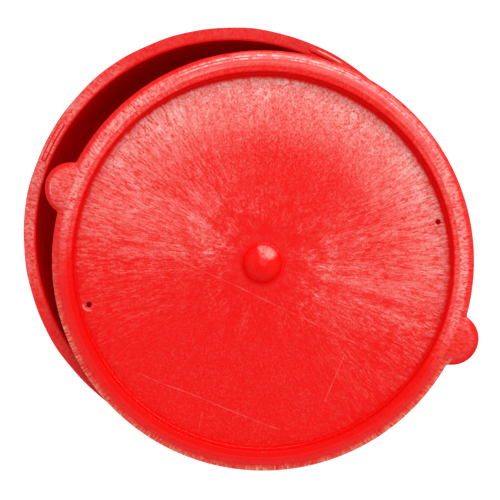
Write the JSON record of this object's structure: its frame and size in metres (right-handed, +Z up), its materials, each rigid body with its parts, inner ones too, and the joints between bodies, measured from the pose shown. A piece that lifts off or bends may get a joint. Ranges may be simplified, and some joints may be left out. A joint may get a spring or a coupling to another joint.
{
  "type": "tortilla warmer",
  "caption": "Round shallow moulded bowl with a flat rim and a loose plug lid with thumb tabs and a domed boss, laid ajar across the rim.",
  "frame": {"origin": "on the axis of the bowl, on the plane that its foot ring stands on", "axes": "+Z up along the bowl's axis, +X and +Y level; the lid lies ajar, shifted from the bowl's axis by 13.65 mm along +X and 10.44 mm along -Y"},
  "size_m": [0.2, 0.1942, 0.0536],
  "materials": {
    "bowl_plastic": "semi-gloss polypropylene with a fine radial grain",
    "lid_plastic": "semi-gloss polypropylene with a fine radial grain"
  },
  "bodies": {
    "bowl": {"bowl": "bowl_plastic"},
    "lid": {"lid": "lid_plastic"}
  },
  "joints": [
    {"name": "lid_lift", "type": "slide", "parent": "bowl", "child": "lid", "axis": [0, 0, 1], "range_m": [0, 0.08]}
  ]
}
